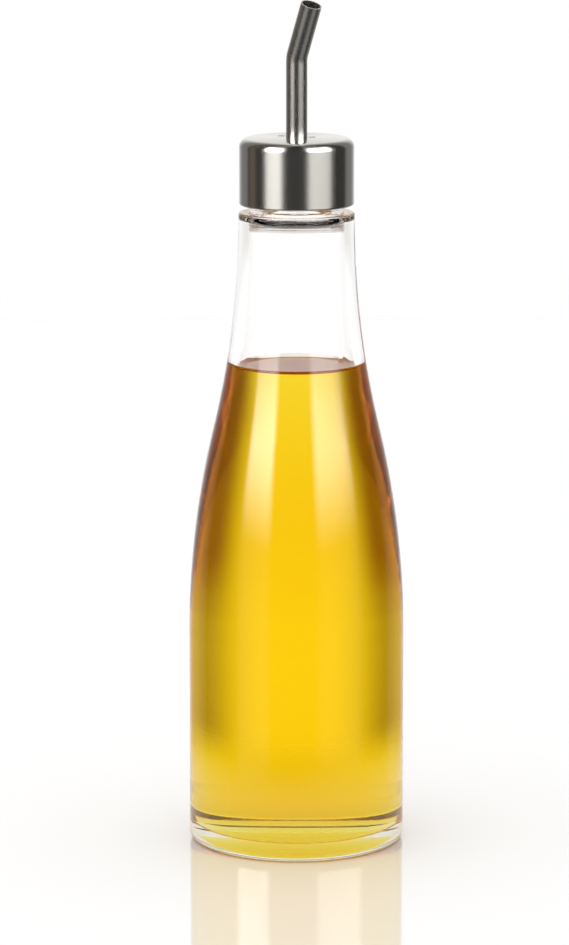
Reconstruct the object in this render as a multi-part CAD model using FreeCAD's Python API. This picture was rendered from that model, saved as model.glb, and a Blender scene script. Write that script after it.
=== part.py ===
"""Glass oil bottle with a screw-on pouring cap.

A clear carafe-shaped bottle holds the oil. Its threaded mouth takes a drawn steel cap lined with a
plastic thread insert. A bent steel pouring tube stands in the middle of the cap, between two air holes.

Millimetres, +Z up. The origin is the centre of the base, on the surface the bottle stands on, and the
tube bends towards +X.
"""
import FreeCAD, Part
import math
import os

# Bottle body: a straight round wall, then two tangent arcs up to the neck
BODY_RADIUS = 36.0
WALL = 3.4
STRAIGHT_TOP_Z = 71.0
SHOULDER_HEIGHT = 139.0

# Base: a flat ring to stand on, pushed up inside it
HEEL_RADIUS = 3.0
STANDING_RING_WIDTH = 10.0
PUNT_HEIGHT = 2.4
BASE_THICKNESS = 5.2
FLOOR_CORNER_RADIUS = 7.0
FLOOR_FLAT_WIDTH = 6.6
FLOOR_RISE_HEIGHT = 1.6

# Ledge under the cap, and the threaded finish that stands on it
NECK_LENGTH = 2.5
LEDGE_WIDTH = 3.7
LEDGE_ROUND = 0.9
FINISH_BORE_RADIUS = 12.4
FINISH_WALL = 3.2
FINISH_HEIGHT = 19.2
FINISH_FOOT_ROUND = 0.8
LIP_ROUND = 0.9
THROAT_TOP_ABOVE_LEDGE = 1.0
THROAT_LOWER_ARC = 5.0
THROAT_UPPER_ARC = 4.0

# Screw thread, single start, right-handed
THREAD_LEAD = 3.5
THREAD_HEIGHT = 1.1
THREAD_RADIAL_CLEARANCE = 0.3
THREAD_AXIAL_CLEARANCE = 0.25
THREAD_SINK = 0.4
GLASS_THREAD_TURNS = 1.5
GLASS_THREAD_ROOT = 2.2
GLASS_THREAD_CREST = 1.0
GLASS_THREAD_BELOW_LIP = 2.7
INSERT_THREAD_TURNS = 1.5
INSERT_THREAD_ROOT = 1.8
INSERT_THREAD_CREST = 0.8

# Oil, and its raised edge on the glass
OIL_BELOW_NECK = 49.0
MENISCUS_WIDTH = 2.2
MENISCUS_HEIGHT = 1.3
MENISCUS_SAG = 0.3

# Drawn steel cap shell
SHELL_THICKNESS = 0.5
SHELL_TO_LEDGE_GAP = 2.5
SHELL_EDGE_RADIUS = 3.0
SHELL_FLAT_PAST_SEAT = 0.35
SHELL_CROWN = 0.35
SHELL_RIM_ROUND = 0.7
SHELL_RIM_WIDTH = 1.0

# Plastic thread insert
INSERT_WALL = 1.45
INSERT_FIT_GAP = 0.05
WEB_THICKNESS = 2.0
INSERT_TOP_CHAMFER = 1.5
INSERT_FOOT_CHAMFER = 0.4
SEAT_RING_WALL = 1.5

# Gaskets and the flange of the pouring tube
LIP_GASKET_THICKNESS = 1.5
LIP_GASKET_SIDE_GAP = 0.2
LIP_GASKET_BORE_GAP = 0.2
FLANGE_RIM = 1.5
FLANGE_THICKNESS = 0.8
FLANGE_SIDE_GAP = 0.15
BRAZE_GAP = 0.03
TUBE_GASKET_THICKNESS = 1.0
TUBE_GASKET_SQUEEZE = 0.1

# Pouring tube and air holes
TUBE_RADIUS = 3.5
TUBE_WALL = 0.4
TUBE_HOLE_GAP = 0.1
TUBE_BELOW_WEB = 1.0
TUBE_RISE_TO_BEND = 26.1
TUBE_TIP_LENGTH = 19.0
BEND_ANGLE_DEG = 22.0
BEND_INSIDE_RADIUS = 4.5
VENT_RADIUS = 1.2
VENT_TO_TUBE = 0.6
VENT_ANGLE_DEG = 30.0

# How far a cutter runs past the sheet or web that it goes through
CUT_PAST = 1.0

UP = FreeCAD.Vector(0, 0, 1)
ORIGIN = FreeCAD.Vector(0, 0, 0)

# Heights that follow from the sizes above
NECK_Z = STRAIGHT_TOP_Z + SHOULDER_HEIGHT
OIL_LEVEL_Z = NECK_Z - OIL_BELOW_NECK
LEDGE_Z = NECK_Z + NECK_LENGTH
LIP_Z = LEDGE_Z + FINISH_HEIGHT
WEB_UNDERSIDE_Z = LIP_Z + LIP_GASKET_THICKNESS
WEB_TOP_Z = WEB_UNDERSIDE_Z + WEB_THICKNESS
FLANGE_UNDERSIDE_Z = WEB_TOP_Z + TUBE_GASKET_THICKNESS
SHELL_UNDERSIDE_Z = FLANGE_UNDERSIDE_Z + FLANGE_THICKNESS
CAP_TOP_Z = SHELL_UNDERSIDE_Z + SHELL_THICKNESS
SHELL_RIM_Z = LEDGE_Z + SHELL_TO_LEDGE_GAP
INSERT_FOOT_Z = SHELL_RIM_Z + SHELL_THICKNESS + INSERT_FIT_GAP
GLASS_THREAD_START_Z = LIP_Z - GLASS_THREAD_BELOW_LIP - THREAD_LEAD * GLASS_THREAD_TURNS

# Radii that follow, from the mouth's bore outwards
FINISH_RADIUS = FINISH_BORE_RADIUS + FINISH_WALL
NECK_RADIUS = FINISH_RADIUS + LEDGE_WIDTH
NECK_INNER_RADIUS = NECK_RADIUS - WALL
GLASS_THREAD_CREST_RADIUS = FINISH_RADIUS + THREAD_HEIGHT
INSERT_THREAD_CREST_RADIUS = FINISH_RADIUS + THREAD_RADIAL_CLEARANCE
INSERT_BORE_RADIUS = GLASS_THREAD_CREST_RADIUS + THREAD_RADIAL_CLEARANCE
INSERT_RADIUS = INSERT_BORE_RADIUS + INSERT_WALL
SHELL_RADIUS = INSERT_RADIUS + INSERT_FIT_GAP + SHELL_THICKNESS

# Radii of the base, from the body inwards
INNER_RADIUS = BODY_RADIUS - WALL
PUNT_RADIUS = BODY_RADIUS - HEEL_RADIUS - STANDING_RING_WIDTH
FLOOR_RISE_RADIUS = INNER_RADIUS - FLOOR_CORNER_RADIUS - FLOOR_FLAT_WIDTH

# Radii round the pouring tube, outwards from it
TUBE_BORE_RADIUS = TUBE_RADIUS - TUBE_WALL
TUBE_HOLE_RADIUS = TUBE_RADIUS + TUBE_HOLE_GAP
BEND_RADIUS = TUBE_RADIUS + BEND_INSIDE_RADIUS
VENT_OFFSET = TUBE_RADIUS + VENT_TO_TUBE + VENT_RADIUS
FLANGE_RADIUS = VENT_OFFSET + VENT_RADIUS + FLANGE_RIM
SEAT_RADIUS = FLANGE_RADIUS + FLANGE_SIDE_GAP
SEAT_OUTER_RADIUS = SEAT_RADIUS + SEAT_RING_WALL
SHELL_FLAT_RADIUS = SEAT_OUTER_RADIUS + SHELL_FLAT_PAST_SEAT

# The shoulder's two arcs have one radius and turn through the same angle
SHOULDER_TURN = 2 * math.atan2(BODY_RADIUS - NECK_RADIUS, SHOULDER_HEIGHT)
SHOULDER_ARC = SHOULDER_HEIGHT / 2 / math.sin(SHOULDER_TURN)


def at(radius, z):
    """A point of a profile in the XZ plane."""
    return FreeCAD.Vector(radius, 0, z)


def on_arc(centre, radius, angle):
    """The point of a circle about a profile point, the angle counted from outwards towards up."""
    return centre + at(radius * math.cos(angle), radius * math.sin(angle))


class Profile:
    """A closed outline in the XZ plane, built point by point and turned about the Z axis."""

    def __init__(self, start):
        self.start = start
        self.here = start
        self.edges = []

    def line(self, point):
        if point.distanceToPoint(self.here) > 1e-7:
            self.edges.append(Part.makeLine(self.here, point))
            self.here = point
        return self

    def arc(self, middle, end):
        self.edges.append(Part.Arc(self.here, middle, end).toShape())
        self.here = end
        return self

    def turn(self, centre, radius, first, last):
        """An arc about a centre, from where the outline stands, between two angles."""
        return self.arc(on_arc(centre, radius, (first + last) / 2), on_arc(centre, radius, last))

    def revolved(self):
        self.line(self.start)
        face = Part.Face(Part.Wire(self.edges))
        return face.revolve(ORIGIN, UP, 360)


def hole(radius, low, high, centre=ORIGIN):
    """A round cutter, parallel to the Z axis, for what lies between two heights."""
    foot = centre + at(0, low - CUT_PAST)
    return Part.makeCylinder(radius, high - low + 2 * CUT_PAST, foot, UP)


def ring(inner, outer, low, high):
    """A flat ring about the Z axis."""
    return Part.makeCylinder(outer, high - low, at(0, low), UP).cut(hole(inner, low, high))


def shoulder_up(profile, inset):
    """The shoulder from the straight wall to the neck, moved in by the inset."""
    lower_centre = at(BODY_RADIUS - SHOULDER_ARC, STRAIGHT_TOP_Z)
    upper_centre = at(NECK_RADIUS + SHOULDER_ARC, NECK_Z)
    profile.line(at(BODY_RADIUS - inset, STRAIGHT_TOP_Z))
    profile.turn(lower_centre, SHOULDER_ARC - inset, 0, SHOULDER_TURN)
    profile.turn(upper_centre, SHOULDER_ARC + inset, math.pi + SHOULDER_TURN, math.pi)


def dome(radius, height, rim_z):
    """A shallow dome about the Z axis, its rim at a height."""
    sphere_radius = (radius ** 2 + height ** 2) / (2 * height)
    centre = at(0, rim_z + height - sphere_radius)
    rim_angle = math.acos(radius / sphere_radius)
    outline = Profile(at(0, rim_z))
    outline.line(at(radius, rim_z))
    outline.turn(centre, sphere_radius, rim_angle, math.pi / 2)
    return outline.revolved()


def thread_ridge(wall_radius, crest_radius, root_width, crest_width, turns, start_z):
    """A helical ridge on a round wall, its foot sunk into the wall, rising from the +X side."""
    outwards = 1 if crest_radius > wall_radius else -1
    flank = (root_width - crest_width) / 2 / abs(crest_radius - wall_radius)
    foot_radius = wall_radius - outwards * THREAD_SINK
    foot_half = root_width / 2 + flank * THREAD_SINK
    corners = [
        at(foot_radius, -foot_half),
        at(crest_radius, -crest_width / 2),
        at(crest_radius, crest_width / 2),
        at(foot_radius, foot_half),
    ]
    section = Part.makePolygon(corners + corners[:1])
    path = Part.Wire(Part.makeHelix(THREAD_LEAD, THREAD_LEAD * turns, wall_radius))
    ridge = path.makePipeShell([section], True, True)
    ridge.translate(at(0, start_z))
    return ridge


def thread_half_width(root_width, crest_width, height_on_ridge):
    """Half the width of a ridge at a height above its foot."""
    return (root_width - (root_width - crest_width) * height_on_ridge / THREAD_HEIGHT) / 2


def insert_thread_start_z():
    """The insert's ridge runs just under the bottle's, which it pulls against."""
    middle = (THREAD_HEIGHT + THREAD_RADIAL_CLEARANCE) / 2
    glass_half = thread_half_width(GLASS_THREAD_ROOT, GLASS_THREAD_CREST, middle)
    insert_half = thread_half_width(INSERT_THREAD_ROOT, INSERT_THREAD_CREST, middle)
    return GLASS_THREAD_START_Z - glass_half - insert_half - THREAD_AXIAL_CLEARANCE


def vent_holes(low, high):
    """The cutters of the two air holes, one each side of the pouring tube."""
    cutters = []
    for half_turn in (0, math.pi):
        angle = math.radians(VENT_ANGLE_DEG) + half_turn
        centre = FreeCAD.Vector(math.cos(angle), math.sin(angle), 0) * VENT_OFFSET
        cutters.append(hole(VENT_RADIUS, low, high, centre))
    return cutters


def bottle_outside():
    """The bottle without its hollow: heel, wall, shoulder, ledge and plain finish."""
    outline = Profile(at(0, 0))
    outline.line(at(BODY_RADIUS - HEEL_RADIUS, 0))
    outline.turn(at(BODY_RADIUS - HEEL_RADIUS, HEEL_RADIUS), HEEL_RADIUS, -math.pi / 2, 0)
    shoulder_up(outline, 0)
    ledge_round = at(NECK_RADIUS - LEDGE_ROUND, LEDGE_Z - LEDGE_ROUND)
    outline.line(at(NECK_RADIUS, ledge_round.z))
    outline.turn(ledge_round, LEDGE_ROUND, 0, math.pi / 2)
    foot_round = at(FINISH_RADIUS + FINISH_FOOT_ROUND, LEDGE_Z + FINISH_FOOT_ROUND)
    outline.line(at(foot_round.x, LEDGE_Z))
    outline.turn(foot_round, FINISH_FOOT_ROUND, -math.pi / 2, -math.pi)
    lip_round = at(FINISH_RADIUS - LIP_ROUND, LIP_Z - LIP_ROUND)
    outline.line(at(FINISH_RADIUS, lip_round.z))
    outline.turn(lip_round, LIP_ROUND, 0, math.pi / 2)
    outline.line(at(0, LIP_Z))
    return outline.revolved().cut(dome(PUNT_RADIUS, PUNT_HEIGHT, 0))


def bottle_hollow():
    """The space inside the bottle, from its raised floor to its mouth."""
    turn = math.acos(1 - (NECK_INNER_RADIUS - FINISH_BORE_RADIUS) / (THROAT_LOWER_ARC + THROAT_UPPER_ARC))
    throat_top_z = LEDGE_Z + THROAT_TOP_ABOVE_LEDGE
    throat_foot_z = throat_top_z - (THROAT_LOWER_ARC + THROAT_UPPER_ARC) * math.sin(turn)
    lower_centre = at(NECK_INNER_RADIUS - THROAT_LOWER_ARC, throat_foot_z)
    upper_centre = at(FINISH_BORE_RADIUS + THROAT_UPPER_ARC, throat_top_z)
    corner = at(INNER_RADIUS - FLOOR_CORNER_RADIUS, BASE_THICKNESS + FLOOR_CORNER_RADIUS)
    mouth_round = at(FINISH_BORE_RADIUS + LIP_ROUND, LIP_Z - LIP_ROUND)
    outline = Profile(at(0, BASE_THICKNESS))
    outline.line(at(corner.x, BASE_THICKNESS))
    outline.turn(corner, FLOOR_CORNER_RADIUS, -math.pi / 2, 0)
    shoulder_up(outline, WALL)
    outline.line(at(NECK_INNER_RADIUS, throat_foot_z))
    outline.turn(lower_centre, THROAT_LOWER_ARC, 0, turn)
    outline.turn(upper_centre, THROAT_UPPER_ARC, math.pi + turn, math.pi)
    outline.line(at(FINISH_BORE_RADIUS, mouth_round.z))
    outline.turn(mouth_round, LIP_ROUND, math.pi, math.pi / 2)
    outline.line(at(mouth_round.x, LIP_Z + LIP_GASKET_THICKNESS))
    outline.line(at(0, LIP_Z + LIP_GASKET_THICKNESS))
    return outline.revolved().cut(dome(FLOOR_RISE_RADIUS, FLOOR_RISE_HEIGHT, BASE_THICKNESS))


def glass_bottle(hollow):
    """The clear glass vessel with its pushed-up base, ledge and threaded finish."""
    ridge = thread_ridge(
        FINISH_RADIUS,
        GLASS_THREAD_CREST_RADIUS,
        GLASS_THREAD_ROOT,
        GLASS_THREAD_CREST,
        GLASS_THREAD_TURNS,
        GLASS_THREAD_START_Z,
    )
    return bottle_outside().cut(hollow).fuse(ridge)


def olive_oil(hollow):
    """The oil: it fills the bottle to its level and creeps a little up the glass all round."""
    edge_z = OIL_LEVEL_Z + MENISCUS_HEIGHT
    upper_arc = SHOULDER_ARC + WALL
    glass_radius = NECK_RADIUS + SHOULDER_ARC - math.sqrt(upper_arc ** 2 - (NECK_Z - edge_z) ** 2)
    creep_foot = at(glass_radius - MENISCUS_WIDTH, OIL_LEVEL_Z)
    creep_top = at(glass_radius, edge_z)
    chord_middle = (creep_foot + creep_top) / 2
    air = Profile(at(0, OIL_LEVEL_Z))
    air.line(creep_foot)
    air.arc(chord_middle + at(MENISCUS_SAG, -MENISCUS_SAG), creep_top)
    air.line(at(BODY_RADIUS, edge_z))
    air.line(at(BODY_RADIUS, CAP_TOP_Z))
    air.line(at(0, CAP_TOP_Z))
    return hollow.cut(air.revolved())


def cap_shell():
    """The drawn steel cap: a low crown, a round top edge, a straight wall and a rolled-in rim."""
    side_top = at(SHELL_RADIUS - SHELL_EDGE_RADIUS, CAP_TOP_Z - SHELL_CROWN - SHELL_EDGE_RADIUS)
    rim_round = at(SHELL_RADIUS - SHELL_RIM_ROUND, SHELL_RIM_Z + SHELL_RIM_ROUND)
    crown_run = side_top.x - SHELL_FLAT_RADIUS
    crown_arc = (crown_run ** 2 + SHELL_CROWN ** 2) / (2 * SHELL_CROWN)
    crown_tilt = 2 * math.atan2(SHELL_CROWN, crown_run)
    outer_crown = at(SHELL_FLAT_RADIUS, CAP_TOP_Z - crown_arc)

    def outline_in_by(inset):
        """The outside of the shell, moved in by a thickness, from the axis down to the rim."""
        outline = Profile(at(0, CAP_TOP_Z - inset))
        outline.line(at(SHELL_FLAT_RADIUS, CAP_TOP_Z - inset))
        outline.turn(outer_crown, crown_arc - inset, math.pi / 2, math.pi / 2 - crown_tilt)
        edge_middle = on_arc(side_top, SHELL_EDGE_RADIUS - inset, math.pi / 4)
        outline.arc(edge_middle, at(SHELL_RADIUS - inset, side_top.z))
        outline.line(at(SHELL_RADIUS - inset, rim_round.z))
        return outline

    outside = outline_in_by(0)
    outside.turn(rim_round, SHELL_RIM_ROUND, 0, -math.pi / 2)
    outside.line(at(0, SHELL_RIM_Z))
    inside = outline_in_by(SHELL_THICKNESS)
    inside.turn(rim_round, SHELL_RIM_ROUND - SHELL_THICKNESS, 0, -math.pi / 2)
    inside.line(at(0, SHELL_RIM_Z + SHELL_THICKNESS))
    shell = outside.revolved().cut(inside.revolved())
    rim_hole = hole(SHELL_RADIUS - SHELL_RIM_WIDTH, SHELL_RIM_Z, SHELL_RIM_Z + SHELL_THICKNESS)
    tube_hole = hole(TUBE_HOLE_RADIUS, SHELL_UNDERSIDE_Z, CAP_TOP_Z)
    return shell.cut([rim_hole, tube_hole] + vent_holes(SHELL_UNDERSIDE_Z, CAP_TOP_Z))


def cap_insert():
    """The plastic insert: a threaded skirt, a web over the mouth and a seat for the tube's flange."""
    skirt = Profile(at(INSERT_BORE_RADIUS, INSERT_FOOT_Z))
    skirt.line(at(INSERT_RADIUS - INSERT_FOOT_CHAMFER, INSERT_FOOT_Z))
    skirt.line(at(INSERT_RADIUS, INSERT_FOOT_Z + INSERT_FOOT_CHAMFER))
    skirt.line(at(INSERT_RADIUS, WEB_TOP_Z - INSERT_TOP_CHAMFER))
    skirt.line(at(INSERT_RADIUS - INSERT_TOP_CHAMFER, WEB_TOP_Z))
    skirt.line(at(0, WEB_TOP_Z))
    skirt.line(at(0, WEB_UNDERSIDE_Z))
    skirt.line(at(INSERT_BORE_RADIUS, WEB_UNDERSIDE_Z))
    seat = ring(SEAT_RADIUS, SEAT_OUTER_RADIUS, WEB_TOP_Z, SHELL_UNDERSIDE_Z)
    ridge = thread_ridge(
        INSERT_BORE_RADIUS,
        INSERT_THREAD_CREST_RADIUS,
        INSERT_THREAD_ROOT,
        INSERT_THREAD_CREST,
        INSERT_THREAD_TURNS,
        insert_thread_start_z(),
    )
    tube_hole = hole(TUBE_HOLE_RADIUS, WEB_UNDERSIDE_Z, WEB_TOP_Z)
    cutters = [tube_hole] + vent_holes(WEB_UNDERSIDE_Z, WEB_TOP_Z)
    return skirt.revolved().fuse([seat, ridge]).cut(cutters)


def lip_gasket():
    """The silicone ring that seals the cap on the glass lip."""
    inner = FINISH_BORE_RADIUS + LIP_GASKET_BORE_GAP
    outer = INSERT_BORE_RADIUS - LIP_GASKET_SIDE_GAP
    return ring(inner, outer, LIP_Z, WEB_UNDERSIDE_Z)


def spout_flange():
    """The steel disc brazed round the pouring tube and clamped under the top of the cap."""
    inner = TUBE_RADIUS + BRAZE_GAP
    disc = ring(inner, FLANGE_RADIUS, FLANGE_UNDERSIDE_Z, SHELL_UNDERSIDE_Z)
    return disc.cut(vent_holes(FLANGE_UNDERSIDE_Z, SHELL_UNDERSIDE_Z))


def spout_gasket():
    """The silicone washer under the flange, tight round the tube."""
    inner = TUBE_RADIUS - TUBE_GASKET_SQUEEZE
    disc = ring(inner, FLANGE_RADIUS, WEB_TOP_Z, FLANGE_UNDERSIDE_Z)
    return disc.cut(vent_holes(WEB_TOP_Z, FLANGE_UNDERSIDE_Z))


def spout_tube():
    """The pouring tube: straight up out of the cap, one tight bend, and a short straight tip."""
    bend = math.radians(BEND_ANGLE_DEG)
    vertex = at(0, CAP_TOP_Z + TUBE_RISE_TO_BEND)
    tip_direction = at(math.sin(bend), math.cos(bend))
    cut_back = BEND_RADIUS * math.tan(bend / 2)
    centre = at(BEND_RADIUS, vertex.z - cut_back)
    foot = at(0, WEB_UNDERSIDE_Z - TUBE_BELOW_WEB)
    path = Profile(foot)
    path.line(vertex - UP * cut_back)
    path.turn(centre, BEND_RADIUS, math.pi, math.pi - bend)
    path.line(vertex + tip_direction * TUBE_TIP_LENGTH)
    route = Part.Wire(path.edges)

    def round_bar(radius):
        """A bar along the tube's route."""
        section = Part.Wire(Part.makeCircle(radius, foot, UP))
        return route.makePipeShell([section], True, True)

    return round_bar(TUBE_RADIUS).cut(round_bar(TUBE_BORE_RADIUS))


def main():
    hollow = bottle_hollow()
    nodes = {
        "glass_bottle": glass_bottle(hollow),
        "olive_oil": olive_oil(hollow),
        "cap_shell": cap_shell(),
        "cap_insert": cap_insert(),
        "lip_gasket": lip_gasket(),
        "spout_tube": spout_tube(),
        "spout_flange": spout_flange(),
        "spout_gasket": spout_gasket(),
    }
    os.makedirs("parts", exist_ok=True)
    for name, shape in nodes.items():
        solids = shape.Solids
        whole = solids[0] if len(solids) == 1 else Part.makeCompound(solids)
        whole.exportStep("parts/" + name + ".step")
        box = whole.BoundBox
        print(
            f"{name}: {len(solids)} solid(s), {whole.Volume / 1000:.2f} ml, valid {whole.isValid()},"
            f" z {box.ZMin:.2f} to {box.ZMax:.2f}, r {max(box.XMax, box.YMax):.2f}"
        )


main()
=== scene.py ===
"""The looks of the glass oil bottle: clear glass, golden oil, a brushed steel cap and a bent steel tube.

Everything is in metres, in the CAD model's frame: the bottle stands on z = 0 and the tube bends to +X.
"""

import math

import bpy
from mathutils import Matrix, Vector


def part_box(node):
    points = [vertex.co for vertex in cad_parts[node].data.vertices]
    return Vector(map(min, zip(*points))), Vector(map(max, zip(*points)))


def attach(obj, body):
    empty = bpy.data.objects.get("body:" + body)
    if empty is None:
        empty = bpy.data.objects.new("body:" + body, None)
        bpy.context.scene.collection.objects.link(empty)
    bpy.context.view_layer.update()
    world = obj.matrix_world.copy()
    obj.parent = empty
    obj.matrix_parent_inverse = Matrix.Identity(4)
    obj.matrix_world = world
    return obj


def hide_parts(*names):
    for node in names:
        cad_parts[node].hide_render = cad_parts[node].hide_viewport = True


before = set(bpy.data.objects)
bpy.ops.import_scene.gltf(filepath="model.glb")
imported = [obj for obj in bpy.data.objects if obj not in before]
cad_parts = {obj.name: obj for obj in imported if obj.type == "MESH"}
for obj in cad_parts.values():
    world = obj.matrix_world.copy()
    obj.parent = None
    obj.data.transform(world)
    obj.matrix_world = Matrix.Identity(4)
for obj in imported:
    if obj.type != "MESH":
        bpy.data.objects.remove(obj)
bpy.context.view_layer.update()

MM = 0.001

# The bottle's shape, from the frame and from the shoulder's driving sizes
BODY_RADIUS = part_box("glass_bottle")[1][0]
INNER_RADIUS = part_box("olive_oil")[1][0]
OIL_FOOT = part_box("olive_oil")[0][2]
OIL_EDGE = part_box("olive_oil")[1][2]
CAP_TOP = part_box("cap_shell")[1][2]
STRAIGHT_TOP = 71.0 * MM
SHOULDER_HEIGHT = 139.0 * MM
NECK_RADIUS = 19.3 * MM
MENISCUS_HEIGHT = 1.3 * MM
MENISCUS_WIDTH = 2.2 * MM
FLOOR_CORNER = 7.0 * MM
FLOOR_RISE_RADIUS = 19.0 * MM
FLOOR_RISE_HEIGHT = 1.6 * MM

# The oil's skin lies this far inside the glass wall, so that no air shows between the two
OIL_IN_GLASS = 0.15 * MM

# The table is a hair below the bottle, as glass never quite touches what it stands on
FLOOR_Z = -0.03 * MM

# The share of the light inside the oil that the wall scatters, rather than bends or mirrors
HAZE = 0.07

GLASS_IOR = 1.5
GLASS_TINT = (0.80, 0.92, 0.86)
GLASS_TINT_DENSITY = 3.0
GLASS_WAVE_SCALE = 45.0
GLASS_WAVE_HEIGHT = 0.4 * MM
OIL_IOR = 1.47
OIL_TINT = (0.992, 0.911, 0.035)
OIL_TINT_DENSITY = 85.0

# A surface of the glass faces in when it looks at the axis, or low in the bottle at this point on it
INSIDE_POINT_Z = 20.0 * MM
FOOT_MARGIN = 0.5 * MM

# The oil's surface is free where its normal rises more than this
FREE_SURFACE_RISE = 0.35

# The cap's brushing gives way to a finer finish over these distances below its top
FINISH_CHANGE = (3.0 * MM, 0.6 * MM)
SIDE_ROUGHNESS = 0.235
TOP_ROUGHNESS = 0.14
TUBE_ROUGHNESS = 0.25
GRAIN_PITCH = 900.0
GRAIN_PER_RADIAN = 1.6
GRAIN_HEIGHT = 0.01 * MM

# The camera, about a metre and a half away and a little above the cap
VIEW_AZIMUTH = 48.0
VIEW_TILT = 10.6
VIEW_DISTANCE = 1.485
AIM_HEIGHT = 125.0 * MM
AIM_LEFT = 4.0 * MM
LENS = 169.5

# The room. Azimuths are in degrees from the camera's side of the bottle, plus to the picture's right, and
# elevations in degrees. A pair of numbers is where a zone fades in or out.
# What is mirrored: side and back walls, two softboxes, a strip of wood and a dark front
DARK_LEVEL = 0.02
SIDE_WALL, SIDE_WALL_LEVEL = (112.0, 120.0), 0.22
BACK_WALL, BACK_WALL_LEVEL = (138.0, 176.0), 0.78
LEFT_BOX = ((-70.0, -62.0), (-35.0, -26.0))
RIGHT_BOX = ((18.0, 29.0), (69.0, 79.0))
RIGHT_BOX_SHARE = 0.72
BOX_FOOT, BOX_TOP = (-1.0, 16.0), (38.0, 46.0)
BOX_LEVEL, BOX_LEAST = 9.5, 0.3
WOOD = ((-112.0, -106.0), (-96.0, -86.0))
WOOD_COLOR = (0.14, 0.105, 0.075, 1)

# What is seen through glass and oil: white, but dimmer and warmer low at the sides
LOW, STEEP, ABOVE = (-9.0, -5.0), (-19.0, -12.0), (1.0, 5.0)
BESIDE, EDGE = (84.0, 98.0), (118.0, 132.0)
ASIDE_END, STEEP_ASIDE_END = (135.0, 170.0), (138.0, 160.0)
THROUGH_COLOR, STEEP_COLOR = (1.14, 1.14, 1.14, 1), (1.08, 1.02, 0.98, 1)
ABOVE_COLOR = (0.86, 0.84, 0.82, 1)
ASIDE_COLORS = ((0.50, 0.46, 0.38, 1), (0.66, 0.60, 0.50, 1))
STEEP_ASIDE_COLORS = ((0.24, 0.115, 0.04, 1), (0.48, 0.22, 0.08, 1))

WHITE = (1, 1, 1, 1)

# The table: how far from the axis its polish fades, and where other rays and the camera's stop seeing it
TABLE_RADIUS = 1.6
TABLE_SEGMENTS = 128
TABLE_COLOR = (0.97, 0.97, 0.97, 1)
POLISH, POLISH_FADE = 0.36, (0.15, 0.34)
LIGHT_FADE, SIGHT_FADE = (0.10, 0.17), (0.5, 1.5)

LAMP_SIZE = 1.6
LAMP_POWER = 3.0


# ---------------------------------------------------------------- node helpers


class Nodes:
    """Adds nodes to a tree and links them by value: a socket is linked, anything else is set."""

    def __init__(self, tree):
        self.tree = tree

    def add(self, kind, **settings):
        node = self.tree.nodes.new(kind)
        for name, value in settings.items():
            setattr(node, name, value)
        return node

    def put(self, socket, value):
        if isinstance(value, bpy.types.NodeSocket):
            self.tree.links.new(value, socket)
        else:
            socket.default_value = value

    def math(self, operation, *values):
        node = self.add("ShaderNodeMath", operation=operation)
        for socket, value in zip(node.inputs, values):
            self.put(socket, value)
        return node.outputs[0]

    def vector(self, operation, *values):
        node = self.add("ShaderNodeVectorMath", operation=operation)
        for socket, value in zip(node.inputs, values):
            self.put(socket, value)
        return node.outputs["Value"] if operation in ("DOT_PRODUCT", "LENGTH") else node.outputs[0]

    def step(self, value, low, high, to_low=0.0, to_high=1.0):
        """A smooth change from to_low to to_high as the value goes from low to high."""
        node = self.add("ShaderNodeMapRange", interpolation_type="SMOOTHSTEP", clamp=True)
        for name, number in (("From Min", low), ("From Max", high), ("To Min", to_low), ("To Max", to_high)):
            node.inputs[name].default_value = number
        self.put(node.inputs["Value"], value)
        return node.outputs["Result"]

    def band(self, value, rise, fall):
        """One between a rising and a falling flank, and nothing outside them."""
        return self.math("MULTIPLY", self.step(value, *rise), self.step(value, *fall, 1.0, 0.0))

    def noise(self, vector, scale, detail=2.0, roughness=0.5):
        node = self.add("ShaderNodeTexNoise")
        self.put(node.inputs["Vector"], vector)
        node.inputs["Scale"].default_value = scale
        node.inputs["Detail"].default_value = detail
        node.inputs["Roughness"].default_value = roughness
        return node.outputs["Fac"]

    def xyz(self, vector):
        node = self.add("ShaderNodeSeparateXYZ")
        self.put(node.inputs[0], vector)
        return node.outputs

    def combine(self, x, y, z):
        node = self.add("ShaderNodeCombineXYZ")
        for socket, value in zip(node.inputs, (x, y, z)):
            self.put(socket, value)
        return node.outputs[0]

    def blend(self, factor, first, second):
        """A mix of two colours."""
        node = self.add("ShaderNodeMix", data_type="RGBA")
        for name, value in (("Factor", factor), ("A", first), ("B", second)):
            self.put(node.inputs[name], value)
        return node.outputs["Result"]

    def mix_shaders(self, factor, first, second):
        node = self.add("ShaderNodeMixShader")
        for socket, value in zip(node.inputs, (factor, first, second)):
            self.put(socket, value)
        return node.outputs[0]

    def bump(self, height, strength, distance):
        node = self.add("ShaderNodeBump")
        node.inputs["Strength"].default_value = strength
        node.inputs["Distance"].default_value = distance
        self.put(node.inputs["Height"], height)
        return node.outputs["Normal"]


def material(name, **sockets):
    """A Principled material with its plain sockets set. Returns it, its helper and its shader."""
    made = bpy.data.materials.new(name)
    made.use_nodes = True
    nodes = Nodes(made.node_tree)
    shader = next(n for n in made.node_tree.nodes if n.type == "BSDF_PRINCIPLED")
    for socket, value in sockets.items():
        shader.inputs[socket.replace("_", " ")].default_value = value
    return made, nodes, shader


def object_position(nodes):
    return nodes.add("ShaderNodeTexCoord").outputs["Object"]


def absorb(made, nodes, color, density):
    """Colours what passes through a closed mesh, by how far it goes inside."""
    volume = nodes.add("ShaderNodeVolumeAbsorption")
    volume.inputs["Color"].default_value = (*color, 1)
    volume.inputs["Density"].default_value = density
    output = next(n for n in made.node_tree.nodes if n.type == "OUTPUT_MATERIAL")
    made.node_tree.links.new(volume.outputs[0], output.inputs["Volume"])


# ---------------------------------------------------------------- materials


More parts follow.
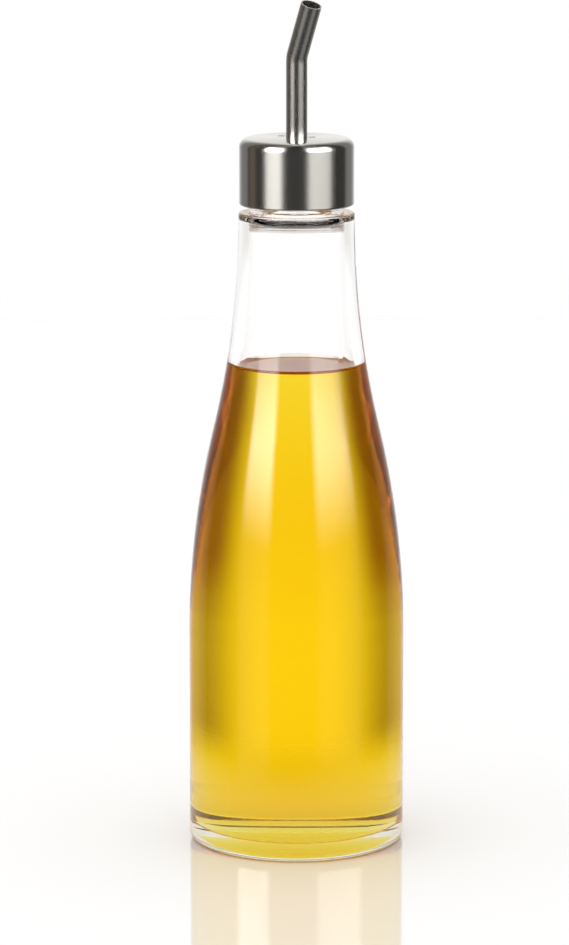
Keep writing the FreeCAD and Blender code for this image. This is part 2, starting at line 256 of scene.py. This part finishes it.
def outward_normal(nodes):
    """The surface's normal out of its own solid, whichever side a ray meets."""
    geometry = nodes.add("ShaderNodeNewGeometry")
    flip = nodes.math("MULTIPLY_ADD", geometry.outputs["Backfacing"], -2.0, 1.0)
    scale = nodes.add("ShaderNodeVectorMath", operation="SCALE")
    nodes.put(scale.inputs[0], geometry.outputs["True Normal"])
    nodes.put(scale.inputs["Scale"], flip)
    return scale.outputs[0]


def clear_glass():
    """Clear glass. Where the oil wets it, the oil's own surface bends the light, and the glass doesn't."""
    made, nodes, shader = material(
        "clear_glass",
        Base_Color=WHITE,
        Roughness=0.0,
        Transmission_Weight=1.0,
    )
    x, y, z = nodes.xyz(object_position(nodes))
    drop = nodes.math("MINIMUM", nodes.math("SUBTRACT", z, INSIDE_POINT_Z), 0.0)
    faces_in = nodes.vector("DOT_PRODUCT", outward_normal(nodes), nodes.combine(x, y, drop))
    faces_in = nodes.math("LESS_THAN", faces_in, 0.0)
    above_foot = nodes.math("GREATER_THAN", z, OIL_FOOT - FOOT_MARGIN)
    below_edge = nodes.math("LESS_THAN", z, OIL_EDGE)
    wet = nodes.math("MULTIPLY", faces_in, nodes.math("MULTIPLY", above_foot, below_edge))
    nodes.put(shader.inputs["IOR"], nodes.math("MULTIPLY_ADD", wet, 1.0 - GLASS_IOR, GLASS_IOR))
    from_inside = nodes.add("ShaderNodeNewGeometry").outputs["Backfacing"]
    outer = nodes.math("MULTIPLY", nodes.math("SUBTRACT", 1.0, faces_in), below_edge)
    haze = nodes.math("MULTIPLY", nodes.math("MULTIPLY", from_inside, outer), -HAZE)
    nodes.put(shader.inputs["Transmission Weight"], nodes.math("ADD", 1.0, haze))
    drawn_out = nodes.vector("MULTIPLY", object_position(nodes), (1.0, 1.0, 0.35))
    waves = nodes.noise(drawn_out, GLASS_WAVE_SCALE, 1.0)
    nodes.put(shader.inputs["Normal"], nodes.bump(waves, 0.12, GLASS_WAVE_HEIGHT))
    absorb(made, nodes, GLASS_TINT, GLASS_TINT_DENSITY)
    return made


def golden_oil():
    """Olive oil. Its free surface meets air, and the rest of it meets glass."""
    made, nodes, shader = material(
        "golden_oil",
        Base_Color=WHITE,
        Roughness=0.0,
        Transmission_Weight=1.0,
    )
    z = nodes.xyz(object_position(nodes))[2]
    faces_up = nodes.math("GREATER_THAN", nodes.xyz(outward_normal(nodes))[2], FREE_SURFACE_RISE)
    free = nodes.math("MULTIPLY", faces_up, nodes.math("GREATER_THAN", z, STRAIGHT_TOP))
    wetted = OIL_IOR / GLASS_IOR
    nodes.put(shader.inputs["IOR"], nodes.math("MULTIPLY_ADD", free, OIL_IOR - wetted, wetted))
    absorb(made, nodes, OIL_TINT, OIL_TINT_DENSITY)
    return made


def brushed_steel():
    """Steel brushed round the cap's axis, with a finer, glossier top."""
    made, nodes, shader = material(
        "brushed_steel",
        Base_Color=(0.62, 0.60, 0.555, 1),
        Metallic=1.0,
        Anisotropic=0.8,
        Anisotropic_Rotation=0.25,
    )
    x, y, z = nodes.xyz(object_position(nodes))
    angle = nodes.math("ARCTAN2", y, x)
    radius = nodes.vector("LENGTH", nodes.combine(x, y, 0.0))
    up = nodes.math("MULTIPLY", z, GRAIN_PITCH)
    along_profile = nodes.math("ADD", up, nodes.math("MULTIPLY", radius, GRAIN_PITCH))
    grain_place = nodes.combine(nodes.math("MULTIPLY", angle, GRAIN_PER_RADIAN), along_profile, 0.0)
    grain = nodes.noise(grain_place, 9.0, 4.0, 0.7)
    on_top = nodes.step(z, CAP_TOP - FINISH_CHANGE[0], CAP_TOP - FINISH_CHANGE[1])
    finish = nodes.step(on_top, 0.0, 1.0, SIDE_ROUGHNESS, TOP_ROUGHNESS)
    nodes.put(shader.inputs["Roughness"], nodes.math("MULTIPLY_ADD", grain, 0.05, finish))
    nodes.put(shader.inputs["Normal"], nodes.bump(grain, 0.03, GRAIN_HEIGHT))
    tangent = nodes.add("ShaderNodeTangent", direction_type="RADIAL", axis="Z")
    nodes.put(shader.inputs["Tangent"], tangent.outputs[0])
    return made


def drawn_steel():
    """Polished drawn tube, with faint lines along it."""
    made, nodes, shader = material(
        "drawn_steel",
        Base_Color=(0.60, 0.58, 0.54, 1),
        Metallic=1.0,
    )
    drawn_out = nodes.vector("MULTIPLY", object_position(nodes), (1.0, 1.0, 0.03))
    lines = nodes.noise(drawn_out, 2600.0, 3.0, 0.6)
    nodes.put(shader.inputs["Roughness"], nodes.math("MULTIPLY_ADD", lines, 0.05, TUBE_ROUGHNESS))
    nodes.put(shader.inputs["Normal"], nodes.bump(lines, 0.004, GRAIN_HEIGHT))
    return made


def moulded(name, colors, cloud_scale, cloud_detail, grain_scale, grain_strength, **sockets):
    """A dull moulded piece, faintly clouded, with a fine grain."""
    made, nodes, shader = material(name, **sockets)
    place = object_position(nodes)
    cloud = nodes.noise(place, cloud_scale, cloud_detail)
    nodes.put(shader.inputs["Base Color"], nodes.blend(cloud, *colors))
    grain = nodes.noise(place, grain_scale, 2.0)
    nodes.put(shader.inputs["Normal"], nodes.bump(grain, grain_strength, 0.05 * MM))
    return made


def white_plastic():
    colors = ((0.80, 0.80, 0.77, 1), (0.88, 0.88, 0.86, 1))
    return moulded("white_plastic", colors, 120.0, 3.0, 2400.0, 0.15, Roughness=0.45, IOR=1.49)


def silicone():
    colors = ((0.62, 0.64, 0.63, 1), (0.74, 0.76, 0.75, 1))
    return moulded("silicone", colors, 300.0, 2.0, 3000.0, 0.2, Roughness=0.55, IOR=1.41)


# ---------------------------------------------------------------- the oil


def arc(centre, radius, first, last, steps):
    """Points of a profile arc, from one angle to another, without the first."""
    points = []
    for i in range(1, steps + 1):
        angle = first + (last - first) * i / steps
        points.append((centre[0] + radius * math.cos(angle), centre[1] + radius * math.sin(angle)))
    return points


def oil_profile():
    """The oil's outline from the middle of the floor, up the wall and over its raised edge to the axis."""
    wall = BODY_RADIUS - INNER_RADIUS - OIL_IN_GLASS
    skin = BODY_RADIUS - wall
    turn = 2 * math.atan2(BODY_RADIUS - NECK_RADIUS, SHOULDER_HEIGHT)
    big_arc = SHOULDER_HEIGHT / 2 / math.sin(turn)
    neck_z = STRAIGHT_TOP + SHOULDER_HEIGHT
    foot = OIL_FOOT - OIL_IN_GLASS
    corner = FLOOR_CORNER + OIL_IN_GLASS
    rise_sphere = (FLOOR_RISE_RADIUS ** 2 + FLOOR_RISE_HEIGHT ** 2) / (2 * FLOOR_RISE_HEIGHT)
    rise_turn = math.asin(FLOOR_RISE_RADIUS / rise_sphere)
    rise_centre = (0.0, foot + FLOOR_RISE_HEIGHT - rise_sphere)
    points = [(0.0, foot + FLOOR_RISE_HEIGHT)]
    points += arc(rise_centre, rise_sphere, math.pi / 2, math.pi / 2 - rise_turn, 16)
    points.append((skin - corner, foot))
    points += arc((skin - corner, foot + corner), corner, -math.pi / 2, 0, 16)
    points.append((skin, STRAIGHT_TOP))
    points += arc((BODY_RADIUS - big_arc, STRAIGHT_TOP), big_arc - wall, 0, turn, 40)
    upper = (NECK_RADIUS + big_arc, neck_z)
    upper_radius = big_arc + wall
    edge_angle = math.pi + math.asin((neck_z - OIL_EDGE) / upper_radius)
    points += arc(upper, upper_radius, math.pi + turn, edge_angle, 24)
    edge_r, edge_z = points[-1]
    for i in range(1, 13):
        share = i / 12
        points.append((edge_r - MENISCUS_WIDTH * share, edge_z - MENISCUS_HEIGHT * (1 - (1 - share) ** 2.2)))
    points.append((0.0, edge_z - MENISCUS_HEIGHT))
    return points


def spun(name, points, segments, sharp_degrees=35.0):
    """A closed mesh: a profile that starts and ends on the axis, turned about Z."""
    rings = points[1:-1]
    verts = [(0, 0, points[0][1]), (0, 0, points[-1][1])]
    for r, z in rings:
        for k in range(segments):
            angle = 2 * math.pi * k / segments
            verts.append((r * math.cos(angle), r * math.sin(angle), z))
    faces = []
    last = 2 + (len(rings) - 1) * segments
    for k in range(segments):
        after = (k + 1) % segments
        faces.append((0, 2 + after, 2 + k))
        faces.append((1, last + k, last + after))
        for i in range(len(rings) - 1):
            low = 2 + i * segments
            high = low + segments
            faces.append((low + k, low + after, high + after, high + k))
    mesh = bpy.data.meshes.new(name)
    mesh.from_pydata(verts, [], faces)
    mesh.polygons.foreach_set("use_smooth", [True] * len(mesh.polygons))
    mesh.set_sharp_from_angle(angle=math.radians(sharp_degrees))
    mesh.update()
    made = bpy.data.objects.new(name, mesh)
    bpy.context.scene.collection.objects.link(made)
    return made


# ---------------------------------------------------------------- studio


def view_axes():
    """The horizontal directions from the bottle to the camera and to the picture's right."""
    angle = math.radians(VIEW_AZIMUTH)
    return Vector((math.sin(angle), -math.cos(angle), 0)), Vector((math.cos(angle), math.sin(angle), 0))


def add_camera():
    to_camera, right = view_axes()
    tilt = math.radians(VIEW_TILT)
    aim = Vector((0, 0, AIM_HEIGHT)) - right * AIM_LEFT
    data = bpy.data.cameras.new("camera")
    data.lens = LENS
    data.sensor_width = 36.0
    data.clip_start = 0.05
    camera = bpy.data.objects.new("camera", data)
    bpy.context.scene.collection.objects.link(camera)
    camera.location = aim + (to_camera * math.cos(tilt) + Vector((0, 0, math.sin(tilt)))) * VIEW_DISTANCE
    camera.rotation_euler = (aim - camera.location).to_track_quat("-Z", "Y").to_euler()
    bpy.context.scene.camera = camera


def add_overhead_lamp():
    """A wide soft lamp overhead. It shades the dull surfaces, and isn't mirrored."""
    data = bpy.data.lights.new("overhead", "AREA")
    data.shape = "DISK"
    data.size = LAMP_SIZE
    data.energy = LAMP_POWER
    lamp = bpy.data.objects.new("overhead", data)
    bpy.context.scene.collection.objects.link(lamp)
    to_camera, right = view_axes()
    lamp.location = to_camera * 0.5 - right * 0.7 + Vector((0, 0, 1.7))
    lamp.rotation_euler = (-lamp.location).to_track_quat("-Z", "Y").to_euler()
    for ray in ("camera", "glossy", "transmission"):
        setattr(lamp, "visible_" + ray, False)


def add_world():
    """A white room, dimmer and warmer low at the sides. Gloss sees it with a dark front and two softboxes."""
    world = bpy.data.worlds.new("studio")
    bpy.context.scene.world = world
    world.use_nodes = True
    tree = world.node_tree
    tree.nodes.clear()
    nodes = Nodes(tree)
    to_camera, right = view_axes()
    direction = nodes.add("ShaderNodeTexCoord").outputs["Generated"]
    forward = nodes.vector("DOT_PRODUCT", direction, tuple(to_camera))
    sideways = nodes.vector("DOT_PRODUCT", direction, tuple(right))
    height = nodes.math("ARCSINE", nodes.xyz(direction)[2])
    elevation = nodes.math("MULTIPLY", height, 180 / math.pi)
    azimuth = nodes.math("MULTIPLY", nodes.math("ARCTAN2", sideways, forward), 180 / math.pi)
    off_front = nodes.math("ABSOLUTE", azimuth)

    # What steel and glass mirror
    side_wall = nodes.step(off_front, *SIDE_WALL, 0.0, SIDE_WALL_LEVEL)
    back_wall = nodes.step(off_front, *BACK_WALL, 0.0, BACK_WALL_LEVEL)
    walls = nodes.math("ADD", side_wall, back_wall)
    left_box = nodes.band(azimuth, *LEFT_BOX)
    boxes = nodes.math("MULTIPLY_ADD", nodes.band(azimuth, *RIGHT_BOX), RIGHT_BOX_SHARE, left_box)
    box_rise = nodes.step(elevation, *BOX_FOOT)
    box_fall = nodes.step(elevation, *BOX_TOP, BOX_LEVEL, 0.0)
    box_level = nodes.math("MAXIMUM", nodes.math("MULTIPLY", box_rise, box_fall), BOX_LEAST)
    level = nodes.math("ADD", nodes.math("ADD", walls, DARK_LEVEL), nodes.math("MULTIPLY", boxes, box_level))
    mirrored = nodes.blend(nodes.band(azimuth, *WOOD), nodes.combine(level, level, level), WOOD_COLOR)

    # What is seen through the glass and the oil
    low = nodes.step(elevation, *LOW, 1.0, 0.0)
    steep = nodes.step(elevation, *STEEP, 1.0, 0.0)
    beside = nodes.step(off_front, *BESIDE)
    aside = nodes.math("MULTIPLY", nodes.step(off_front, *ASIDE_END, 1.0, 0.0), low)
    aside = nodes.math("MULTIPLY", aside, beside)
    steep_aside = nodes.math("MULTIPLY", nodes.step(off_front, *STEEP_ASIDE_END, 1.0, 0.0), steep)
    steep_aside = nodes.math("MULTIPLY", steep_aside, beside)
    edge = nodes.step(off_front, *EDGE, 1.0, 0.0)
    through = nodes.blend(steep, THROUGH_COLOR, STEEP_COLOR)
    through = nodes.blend(nodes.step(elevation, *ABOVE), through, ABOVE_COLOR)
    through = nodes.blend(aside, through, nodes.blend(edge, *ASIDE_COLORS))
    through = nodes.blend(steep_aside, through, nodes.blend(edge, *STEEP_ASIDE_COLORS))

    path = nodes.add("ShaderNodeLightPath")
    color = nodes.blend(path.outputs["Is Glossy Ray"], WHITE, mirrored)
    color = nodes.blend(path.outputs["Is Transmission Ray"], color, through)
    color = nodes.blend(path.outputs["Is Camera Ray"], color, WHITE)
    background = nodes.add("ShaderNodeBackground")
    nodes.put(background.inputs["Color"], color)
    background.inputs["Strength"].default_value = 1.0
    output = nodes.add("ShaderNodeOutputWorld")
    tree.links.new(background.outputs[0], output.inputs["Surface"])


def add_floor():
    """A pale table top that mirrors the bottle. Only the part near the bottle lights it back."""
    verts = []
    for k in range(TABLE_SEGMENTS):
        angle = 2 * math.pi * k / TABLE_SEGMENTS
        verts.append((TABLE_RADIUS * math.cos(angle), TABLE_RADIUS * math.sin(angle), FLOOR_Z))
    mesh = bpy.data.meshes.new("floor")
    mesh.from_pydata(verts, [], [tuple(range(TABLE_SEGMENTS))])
    floor = bpy.data.objects.new("floor", mesh)
    bpy.context.scene.collection.objects.link(floor)
    made = bpy.data.materials.new("white_table")
    made.use_nodes = True
    made.node_tree.nodes.clear()
    nodes = Nodes(made.node_tree)
    away = nodes.vector("LENGTH", object_position(nodes))
    dull = nodes.add("ShaderNodeBsdfDiffuse")
    dull.inputs["Color"].default_value = TABLE_COLOR
    mirror = nodes.add("ShaderNodeBsdfGlossy")
    mirror.inputs["Color"].default_value = WHITE
    mirror.inputs["Roughness"].default_value = 0.03
    seen = nodes.add("ShaderNodeLightPath").outputs["Is Camera Ray"]
    polish = nodes.math("MULTIPLY", seen, nodes.step(away, *POLISH_FADE, POLISH, 0.0))
    top = nodes.mix_shaders(polish, dull.outputs[0], mirror.outputs[0])
    clear = nodes.add("ShaderNodeBsdfTransparent")
    fade = nodes.add("ShaderNodeMix", data_type="FLOAT")
    nodes.put(fade.inputs["Factor"], seen)
    nodes.put(fade.inputs["A"], nodes.step(away, *LIGHT_FADE))
    nodes.put(fade.inputs["B"], nodes.step(away, *SIGHT_FADE))
    output = nodes.add("ShaderNodeOutputMaterial")
    whole = nodes.mix_shaders(fade.outputs["Result"], top, clear.outputs[0])
    nodes.put(output.inputs["Surface"], whole)
    mesh.materials.append(made)


# ---------------------------------------------------------------- the object


def dress(node, made):
    """Gives a CAD node a finished material."""
    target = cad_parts[node]
    if target.material_slots:
        for slot in target.material_slots:
            slot.material = made
    else:
        target.data.materials.append(made)


def dress_bottle():
    steel = drawn_steel()
    rubber = silicone()
    dress("glass_bottle", clear_glass())
    dress("cap_shell", brushed_steel())
    dress("cap_insert", white_plastic())
    dress("spout_tube", steel)
    dress("spout_flange", steel)
    dress("spout_gasket", rubber)
    dress("lip_gasket", rubber)


def add_oil():
    oil = spun("oil", oil_profile(), 192)
    oil.data.materials.append(golden_oil())
    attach(oil, "bottle")
    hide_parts("olive_oil")


dress_bottle()
add_oil()
add_floor()
add_world()
add_overhead_lamp()
add_camera()
bpy.context.scene.view_settings.view_transform = "Standard"
bpy.context.scene.cycles.max_bounces = 96
bpy.context.scene.cycles.transmission_bounces = 96
bpy.context.scene.cycles.glossy_bounces = 24
